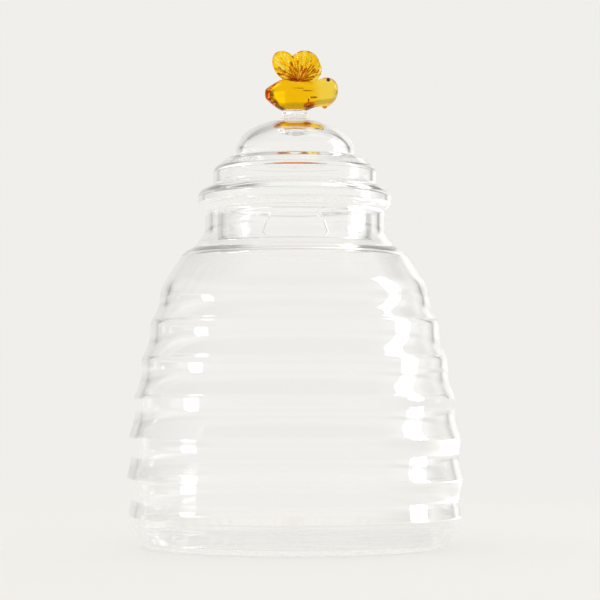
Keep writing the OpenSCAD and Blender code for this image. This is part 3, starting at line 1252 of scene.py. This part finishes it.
@dataclass
class Bee:
    """The amber bee: one gather for abdomen and head, two pairs of wings, eyes and drops."""

    belly_z: float
    wing_root_x: float = 1.2
    wing_root_z: float = 8.95
    wing_spread: float = 1.5
    wing_splay: float = 14.0
    wing_thick: float = 1.3
    wing_root_depth: float = 0.5
    fore: Wing = Wing(4.85, 4.85, 5.4, 20.0)
    hind: Wing = Wing(3.8, 5.4, 6.3, -38.0)
    far_turn: float = 7.0
    rib_fan: float = 66.0
    ribs: int = 5
    rib_height: float = 0.22
    fold_depth: float = 0.45
    fold_width: float = 0.35
    rings: int = 230
    around: int = 200
    eye_bead: Bead = Bead(10.5, 48, (0.62, 0.5, 0.68), 15)
    throat_bead: Bead = Bead(4.5, -48, (1.8, 0.8, 0.9), -14)
    chin_bead: Bead = Bead(9.4, -90, (0.75, 0.6, 0.6), 0)
    bead_sides: int = 32
    bead_rows: int = 18
    bead_sag: float = 0.08
    amber: AmberGlass = AmberGlass(
        name="lampworked amber glass",
        colour="FFF8C8",
        depth_per_mm=0.5,
        lamp_tint="FFD873",
        clear_tint="FFDE10",
        pale_tint="FFF2A0",
        stains=(
            Stain(-9.0, 4.6, 3.3, 3.2),
            Stain(-7.0, 2.1, 2.6, 1.9),
            Stain(-4.8, 0.4, 2.8, 1.3),
            Stain(1.5, 9.9, 6.0, 1.1),
            Stain(4.6, 1.0, 2.2, 1.4),
            Stain(0.0, -0.3, 5.2, 0.7),
            Stain(4.2, 5.85, 2.4, 0.25),
            Stain(1.2, 6.6, 2.0, 0.2),
            Stain(4.3, 3.0, 0.4, 1.1),
            Stain(5.9, 3.85, 1.6, 0.35),
        ),
    )
    pale: AmberGlass = AmberGlass(
        name="pressed amber glass",
        colour="FFF4A0",
        depth_per_mm=0.3,
        lamp_tint="FFE59A",
        clear_tint="FFE648",
        pale_tint="FFFBDC",
        paler=(0.47, 0.34),
        dense_tint="A84A03",
        root=(1.2, 8.95),
        swell_height_mm=0.25,
    )
    brown: AmberGlass = AmberGlass(
        name="brown glass drops",
        colour="F4A400",
        depth_per_mm=0.6,
        lamp_tint="D08030",
        clear_tint="FFD840",
        pale_tint="FFD840",
    )
    dark: DarkGlass = DarkGlass()
    # The crease at the throat, in X and in height above the flat of the belly
    fold: tuple = ((3.2, 1.5), (3.45, 2.5), (4.0, 3.3), (4.9, 3.65), (6.1, 3.6))
    # Heights above the flat of the belly
    stations: tuple[Station, ...] = (
        Station(-9.45, 5.5, 5.4, 0.0),
        Station(-9.3, 6.7, 4.3, 1.3),
        Station(-8.4, 7.6, 3.2, 2.3),
        Station(-7.0, 8.5, 2.0, 3.3),
        Station(-5.2, 9.6, 0.7, 4.2),
        Station(-3.4, 10.2, 0.0, 4.8),
        Station(-1.0, 10.5, -0.05, 5.15),
        Station(1.4, 10.3, -0.05, 5.0),
        Station(3.6, 9.8, 0.15, 4.6),
        Station(5.6, 9.4, 1.0, 4.2),
        Station(7.4, 10.0, 1.45, 4.1),
        Station(9.2, 10.55, 1.4, 4.1),
        Station(10.8, 10.6, 1.8, 3.9),
        Station(12.2, 9.9, 2.9, 3.3),
        Station(13.3, 8.6, 4.6, 2.1),
        Station(13.66, 7.0, 6.6, 0.0),
    )

    def build(self) -> list[bpy.types.Object]:
        """Builds and dresses all of the bee's pieces.

        Returns:
            The pieces.
        """
        amber, pale = self.amber.material(self.belly_z), self.pale.material(self.belly_z)
        brown, dark = self.brown.material(self.belly_z), self.dark.material()
        pieces = [self.body(amber)]
        for side in Side:
            pieces += [self.wings(side, pale), self.eye(side, dark)]
        return pieces + [self.drop(brown), self.nub(brown)]

    def cut(self, x: float) -> Station:
        """Cuts the smooth body at a place along X, by curves through the stations.

        Args:
            x: the place.

        Returns:
            The body's cut there.
        """
        marks = [self.share_of(s.x) for s in self.stations]
        u = self.share_of(x)
        i = min(bisect_right(marks, u), len(marks) - 1) - 1
        rows = ([getattr(s, name) for s in self.stations] for name in ("top", "bottom", "half"))
        return Station(x, *(hermite(marks, row, i, u) for row in rows))

    def share_of(self, x: float) -> float:
        """Maps a place along X to an angle, so that the two ends close round.

        Args:
            x: the place.

        Returns:
            The angle, from 0 at the tail to half a turn at the face.
        """
        low, high = self.stations[0].x, self.stations[-1].x
        share = min(1.0, max(0.0, (x - low) / (high - low)))
        return math.acos(1 - 2 * share)

    def skin(self, x: float, turn: float) -> Vector:
        """Finds a point of the body's skin.

        Args:
            x: the place along X.
            turn: the turn from the near side upwards.

        Returns:
            The point.
        """
        cut = self.cut(x)
        middle = (cut.top + cut.bottom) / 2
        up = middle + (cut.top - cut.bottom) / 2 * math.sin(turn)
        out = cut.half * math.cos(turn)
        if out > 0:
            out -= self.fold_depth * self.fold_share(Vector((x, up)))
        return Vector((x, -out, self.belly_z + up))

    def fold_share(self, place: Vector) -> float:
        """Works out how deep the crease at the throat is at a place on the near side.

        Args:
            place: the place, in X and in height above the flat of the belly.

        Returns:
            The share of the crease's full depth, from 0 to 1.
        """
        nearest = 9.0
        for a, b in zip(self.fold, self.fold[1:]):
            a, b = Vector(a), Vector(b)
            share = min(1.0, max(0.0, (place - a).dot(b - a) / (b - a).length_squared))
            nearest = min(nearest, (place - a.lerp(b, share)).length)
        return math.exp(-((nearest / self.fold_width) ** 2))

    def body(self, material: bpy.types.Material) -> bpy.types.Object:
        """Lofts the abdomen, the chest and the head as one gather.

        Args:
            material: its finish.

        Returns:
            The body.
        """
        low, high = self.stations[0].x, self.stations[-1].x
        places = [low + (high - low) * (1 - math.cos(a)) / 2 for a in arc(0, math.pi, self.rings)]
        columns = []
        for i in range(self.around):
            turn = -2 * math.pi * i / self.around
            columns.append([tuple(self.skin(x, turn)) for x in places[1:-1]])
        start, end = self.skin(low, 0), self.skin(high, 0)
        piece = new_piece("bee_body", *closed_grid(columns, tuple(start), tuple(end)))
        return finished(piece, Body.LID, material, ("bee_abdomen", "bee_head"))

    def wings(self, side: Side, material: bpy.types.Material) -> bpy.types.Object:
        """Presses a fore and a hind wing and fuses them into one pair.

        Args:
            side: the bee's side that they are on.
            material: their finish.

        Returns:
            The pair.
        """
        turn = self.far_turn if side is Side.FAR else 0.0
        tree = pressed_wing_tree()
        root = (self.wing_root_x, side.value * self.wing_spread, self.belly_z + self.wing_root_z)
        splay = Matrix.Rotation(math.radians(-side.value * self.wing_splay), 4, "X")
        home = Matrix.Translation([v * MM for v in root]) @ splay
        parts = []
        for name, wing in (("fore", self.fore), ("hind", self.hind)):
            values = {
                "Half width": wing.half_width * MM,
                "Half length": wing.half_length * MM,
                "Reach": wing.reach * MM,
                "Thickness": self.wing_thick * MM,
                "Root depth": self.wing_root_depth * MM,
                "Ribs": self.ribs,
                "Fan": math.radians(self.rib_fan),
                "Rib height": self.rib_height * MM,
                "Finish": material,
            }
            part = grown(f"{side.word}_{name}", new_piece("gather", [], []), tree, values)
            part.data.transform(home @ Matrix.Rotation(math.radians(wing.lean + turn), 4, "Y"))
            parts.append(part)
        pair, other = parts
        fuse(pair, other)
        pair.name = pair.data.name = f"{side.word}_wings"
        nodes = (f"{side.word}_fore_wing", f"{side.word}_hind_wing")
        return finished(pair, Body.LID, material, nodes)

    def bead(self, name: str, bead: Bead, side: Side = Side.NEAR) -> bpy.types.Object:
        """Makes a small bead of glass that was pressed on while soft.

        Args:
            name: the piece's name.
            bead: its place, sizes and tilt.
            side: the side of the bee that it is on.

        Returns:
            The undressed object.
        """
        centre = self.skin(bead.x, math.radians(bead.turn))
        centre.y *= -side.value
        tilt = Matrix.Rotation(math.radians(bead.tilt), 3, "Y")
        wide, deep, tall = bead.sizes
        columns = []
        for i in range(self.bead_sides):
            a = 2 * math.pi * i / self.bead_sides
            column = []
            for b in arc(-math.pi / 2, math.pi / 2, self.bead_rows)[1:-1]:
                out = math.cos(b) * (1 + self.bead_sag * math.sin(b))
                x, y = wide * math.cos(a) * out, deep * math.sin(a) * out
                column.append(tuple(centre + tilt @ Vector((x, y, tall * math.sin(b)))))
            columns.append(column)
        pole = tilt @ Vector((0, 0, tall))
        return new_piece(name, *closed_grid(columns, tuple(centre - pole), tuple(centre + pole)))

    def eye(self, side: Side, material: bpy.types.Material) -> bpy.types.Object:
        """Sets an eye on the crown of the head."""
        piece = self.bead(f"{side.word}_eye_dot", self.eye_bead, side)
        return finished(piece, Body.LID, material, (f"{side.word}_eye",))

    def drop(self, material: bpy.types.Material) -> bpy.types.Object:
        """Sets the dark drop at the near side of the throat."""
        piece = self.bead("throat_bead", self.throat_bead)
        return finished(piece, Body.LID, material, ("throat_drop",))

    def nub(self, material: bpy.types.Material) -> bpy.types.Object:
        """Sets the small nub under the chin."""
        piece = self.bead("chin_bead", self.chin_bead)
        return finished(piece, Body.LID, material, ("chin_nub",))


def hermite(xs: list[float], ys: list[float], i: int, x: float) -> float:
    """Interpolates between two of a row of values by a smooth curve through them all.

    Args:
        xs: the places of the values, rising.
        ys: the values.
        i: the number of the value before x.
        x: the place asked for.

    Returns:
        The value there.
    """

    def slope(k: int) -> float:
        """Returns the curve's slope at value k."""
        a, b = max(0, k - 1), min(len(xs) - 1, k + 1)
        return (ys[b] - ys[a]) / (xs[b] - xs[a])

    gap = xs[i + 1] - xs[i]
    t = (x - xs[i]) / gap
    low, high = slope(i) * gap, slope(i + 1) * gap
    return (
        ys[i] * (2 * t**3 - 3 * t**2 + 1)
        + low * (t**3 - 2 * t**2 + t)
        + ys[i + 1] * (3 * t**2 - 2 * t**3)
        + high * (t**3 - t**2)
    )


# The studio


@dataclass
class Studio:
    """A pale table and backdrop, one tall strip light at the right and a soft fill."""

    backdrop: str = "F0EFEB"
    eye_height: float = 0.044
    distance: float = 0.658
    lens: float = 126.0
    tilt: float = 2.86
    aside: float = 0.0016
    strip_power: float = 3.8
    strip_width: float = 0.15
    # Lower end, upper end and share of the full power of each part of the strip
    strip_parts: tuple = ((0.0, 0.12, 1.0), (0.12, 0.2, 0.2), (0.2, 0.61, 0.5))
    fill: float = 1.13
    air_gap: float = 0.15
    # Share of real light on the table by the way out from the pot's axis, as a share of its reach
    lit_reach: float = 0.5
    lit_share: tuple = ((0.0, 0.28), (0.26, 0.28), (1.0, 0.0))
    # Brightness by the way round from straight ahead, in degrees to the right: at most heights,
    # and at the height at which the light behind the bee comes in
    low_room: tuple = (
        (-180, 1.2),
        (-120, 1.2),
        (-98, 1.0),
        (-80, 0.7),
        (-65, 0.6),
        (-54, 0.7),
        (-38, 0.7),
        (-28, 0.95),
        (-18, 1.0),
        (9, 1.0),
        (14, 1.35),
        (28, 1.35),
        (36, 0.55),
        (54, 0.6),
        (62, 0.9),
        (70, 1.7),
        (98, 1.6),
        (112, 1.25),
        (180, 1.2),
    )
    high_room: tuple = (
        (-180, 1.0),
        (-120, 1.0),
        (-95, 0.5),
        (-60, 0.35),
        (-38, 0.4),
        (-28, 0.85),
        (-18, 1.0),
        (9, 1.0),
        (14, 1.25),
        (28, 1.25),
        (36, 0.4),
        (95, 0.4),
        (120, 1.0),
        (180, 1.0),
    )
    # How much of the second one counts, by the height of the direction, as its sine
    bee_height: tuple = ((0.0, 0.0), (0.12, 0.0), (0.15, 1.0), (0.21, 1.0), (0.27, 0.0), (1.0, 0.0))
    # Brightness by the height of the direction at all ways round
    ceiling: tuple = (
        (0.0, 1.0),
        (0.42, 1.0),
        (0.55, 0.65),
        (0.76, 0.65),
        (0.88, 0.88),
        (1.0, 0.88),
    )
    # A painted pool of light on the table at the right, which only the glass mirrors
    painted_pool_at: tuple = (0.3, 0.2, 0.0)
    painted_pool_reach: tuple = (0.08, 0.24)
    painted_pool_glow: float = 2.4
    # Where the strip light's upright middle line is
    strip_at: tuple = (0.6, 0.03)
    table_reach: float = 6.0

    def build(self) -> None:
        """Sets up the camera, the world, the table and the lamps."""
        scene = bpy.context.scene
        scene.view_settings.view_transform = "Standard"
        camera = bpy.data.objects.new("camera", bpy.data.cameras.new("camera"))
        camera.data.lens = self.lens
        camera.data.sensor_width = 36.0
        camera.data.clip_start = 0.01
        camera.location = (self.aside, -self.distance, self.eye_height)
        camera.rotation_euler = (math.radians(90 + self.tilt), 0, 0)
        scene.collection.objects.link(camera)
        scene.camera = camera
        self.world()
        self.table()
        for i, (low, high, share) in enumerate(self.strip_parts):
            size = (self.strip_width, high - low)
            power = share * self.strip_power * (high - low)
            self.lamp(f"strip part {i}", (*self.strip_at, (low + high) / 2), size, power)

    def world(self) -> None:
        """Makes the surroundings: the pale backdrop ahead, and what the glass mirrors beside it.

        Diffuse rays see an even fill. Glossy and transmitted rays see a room whose brightness
        changes with the way round and with the height, as between a studio's panels.
        """
        world = bpy.data.worlds.new("studio")
        bpy.context.scene.world = world
        world.use_nodes = True
        tree = world.node_tree
        tree.nodes.clear()
        path = add_node(tree, "ShaderNodeLightPath").outputs
        where = add_node(tree, "ShaderNodeTexCoord").outputs["Generated"]
        x, y, height = add_node(tree, "ShaderNodeSeparateXYZ", (where,)).outputs
        turn = add_node(tree, MATH, (x, y), operation="ARCTAN2")
        share = add_node(tree, MATH, (turn, math.tau), operation="DIVIDE")
        share = add_node(tree, MATH, (share, 0.5), operation="ADD")
        low = self.ramp(tree, share, [(a / 360 + 0.5, v) for a, v in self.low_room])
        high = self.ramp(tree, share, [(a / 360 + 0.5, v) for a, v in self.high_room])
        rise = self.ramp(tree, height, self.bee_height)
        around = add_node(tree, MIX, {0: rise, 2: low, 3: high}, data_type="FLOAT")
        above = self.ramp(tree, height, self.ceiling)
        room = add_node(tree, MATH, (around, above), operation="MULTIPLY")
        mirrors = (path["Is Glossy Ray"], path["Is Transmission Ray"])
        mirrored = add_node(tree, MATH, mirrors, operation="MAXIMUM")
        seen = add_node(tree, MIX, {0: mirrored, 2: self.fill, 3: room}, data_type="FLOAT")
        inputs = {0: path["Is Camera Ray"], 2: seen, 3: 1.0}
        strength = add_node(tree, MIX, inputs, data_type="FLOAT")
        sky = add_node(tree, "ShaderNodeBackground", (linear(self.backdrop), strength))
        add_node(tree, "ShaderNodeOutputWorld", (sky,))

    def ramp(
        self,
        tree: bpy.types.NodeTree,
        value: bpy.types.Node | bpy.types.NodeSocket,
        stops: list | tuple,
    ) -> bpy.types.Node:
        """Adds a ramp of values that may go past 1.

        Args:
            tree: the tree that gets it.
            value: what the ramp reads, from 0 to 1.
            stops: places and brightnesses in order.

        Returns:
            The node that gives the brightness.
        """
        most = max(v for _, v in stops)
        node = add_node(tree, "ShaderNodeValToRGB", (value,))
        node.color_ramp.interpolation = "EASE"
        marks = node.color_ramp.elements
        while len(marks) < len(stops):
            marks.new(0.5)
        for mark, (place, brightness) in zip(marks, stops):
            mark.position = place
            mark.color = (*[brightness / most] * 3, 1.0)
        return add_node(tree, MATH, (node, most), operation="MULTIPLY")

    def table(self) -> None:
        """Lays the pale table, which fades into the backdrop away from the pot and carries a
        painted pool of light at its right.
        """
        mesh = bpy.data.meshes.new("table")
        far, below = self.table_reach, -self.air_gap * MM
        corners = [(-far, -far, below), (far, -far, below), (far, far, below), (-far, far, below)]
        mesh.from_pydata(corners, [], [(0, 1, 2, 3)])
        table = bpy.data.objects.new("table", mesh)
        bpy.context.scene.collection.objects.link(table)
        material, tree = empty_material("matt white acrylic table")
        pale = linear(self.backdrop)
        where = add_node(tree, "ShaderNodeTexCoord").outputs["Object"]
        length = add_node(tree, VECTOR, (where,), operation="LENGTH").outputs["Value"]
        share = add_node(tree, MATH, (length, self.lit_reach), operation="DIVIDE")
        near = self.ramp(tree, share, self.lit_share)
        lit = add_node(tree, "ShaderNodeBsdfDiffuse", (pale,))
        # Painted light: for all but camera rays, the table glows brighter round the pool's middle
        away = add_node(tree, VECTOR, (where, self.painted_pool_at), operation="DISTANCE").outputs["Value"]
        low, high = self.painted_pool_reach
        inputs = {"Value": away, "From Min": low, "From Max": high, "To Min": self.painted_pool_glow}
        beside = add_node(tree, RANGE, inputs, interpolation_type="SMOOTHSTEP")
        camera = add_node(tree, "ShaderNodeLightPath").outputs["Is Camera Ray"]
        glow = add_node(tree, MIX, {0: camera, 2: beside, 3: 1.0}, data_type="FLOAT")
        plain = add_node(tree, "ShaderNodeEmission", (pale, glow))
        mixed = add_node(tree, "ShaderNodeMixShader", (near, plain, lit))
        add_node(tree, "ShaderNodeOutputMaterial", (mixed,))
        table.data.materials.append(material)

    def lamp(self, name: str, place: tuple, size: tuple, power: float) -> None:
        """Hangs an upright soft light that faces the pot.

        Args:
            name: the lamp's name.
            place: where its middle is, in metres.
            size: its width and height.
            power: its power in watts.
        """
        light = bpy.data.lights.new(name, "AREA")
        light.shape = "RECTANGLE"
        light.size, light.size_y = size
        light.energy = power
        lamp = bpy.data.objects.new(name, light)
        lamp.location = place
        toward = Vector((-place[0], -place[1], 0))
        lamp.rotation_euler = toward.to_track_quat("-Z", "Y").to_euler()
        bpy.context.scene.collection.objects.link(lamp)


def main() -> None:
    """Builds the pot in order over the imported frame."""
    logging.basicConfig(level=logging.INFO, format="%(message)s")
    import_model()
    Studio().build()
    jar = Jar()
    jar.build()
    lid = Lid(seat_z=jar.height + SEAT_GAP, neck_bore_r=jar.neck_r - jar.wall, neck_r=jar.neck_r)
    lid.build()
    bee = Bee(belly_z=lid.stem_z - STEM_SINK)
    bee.build()


if __name__ == "__main__":
    main()
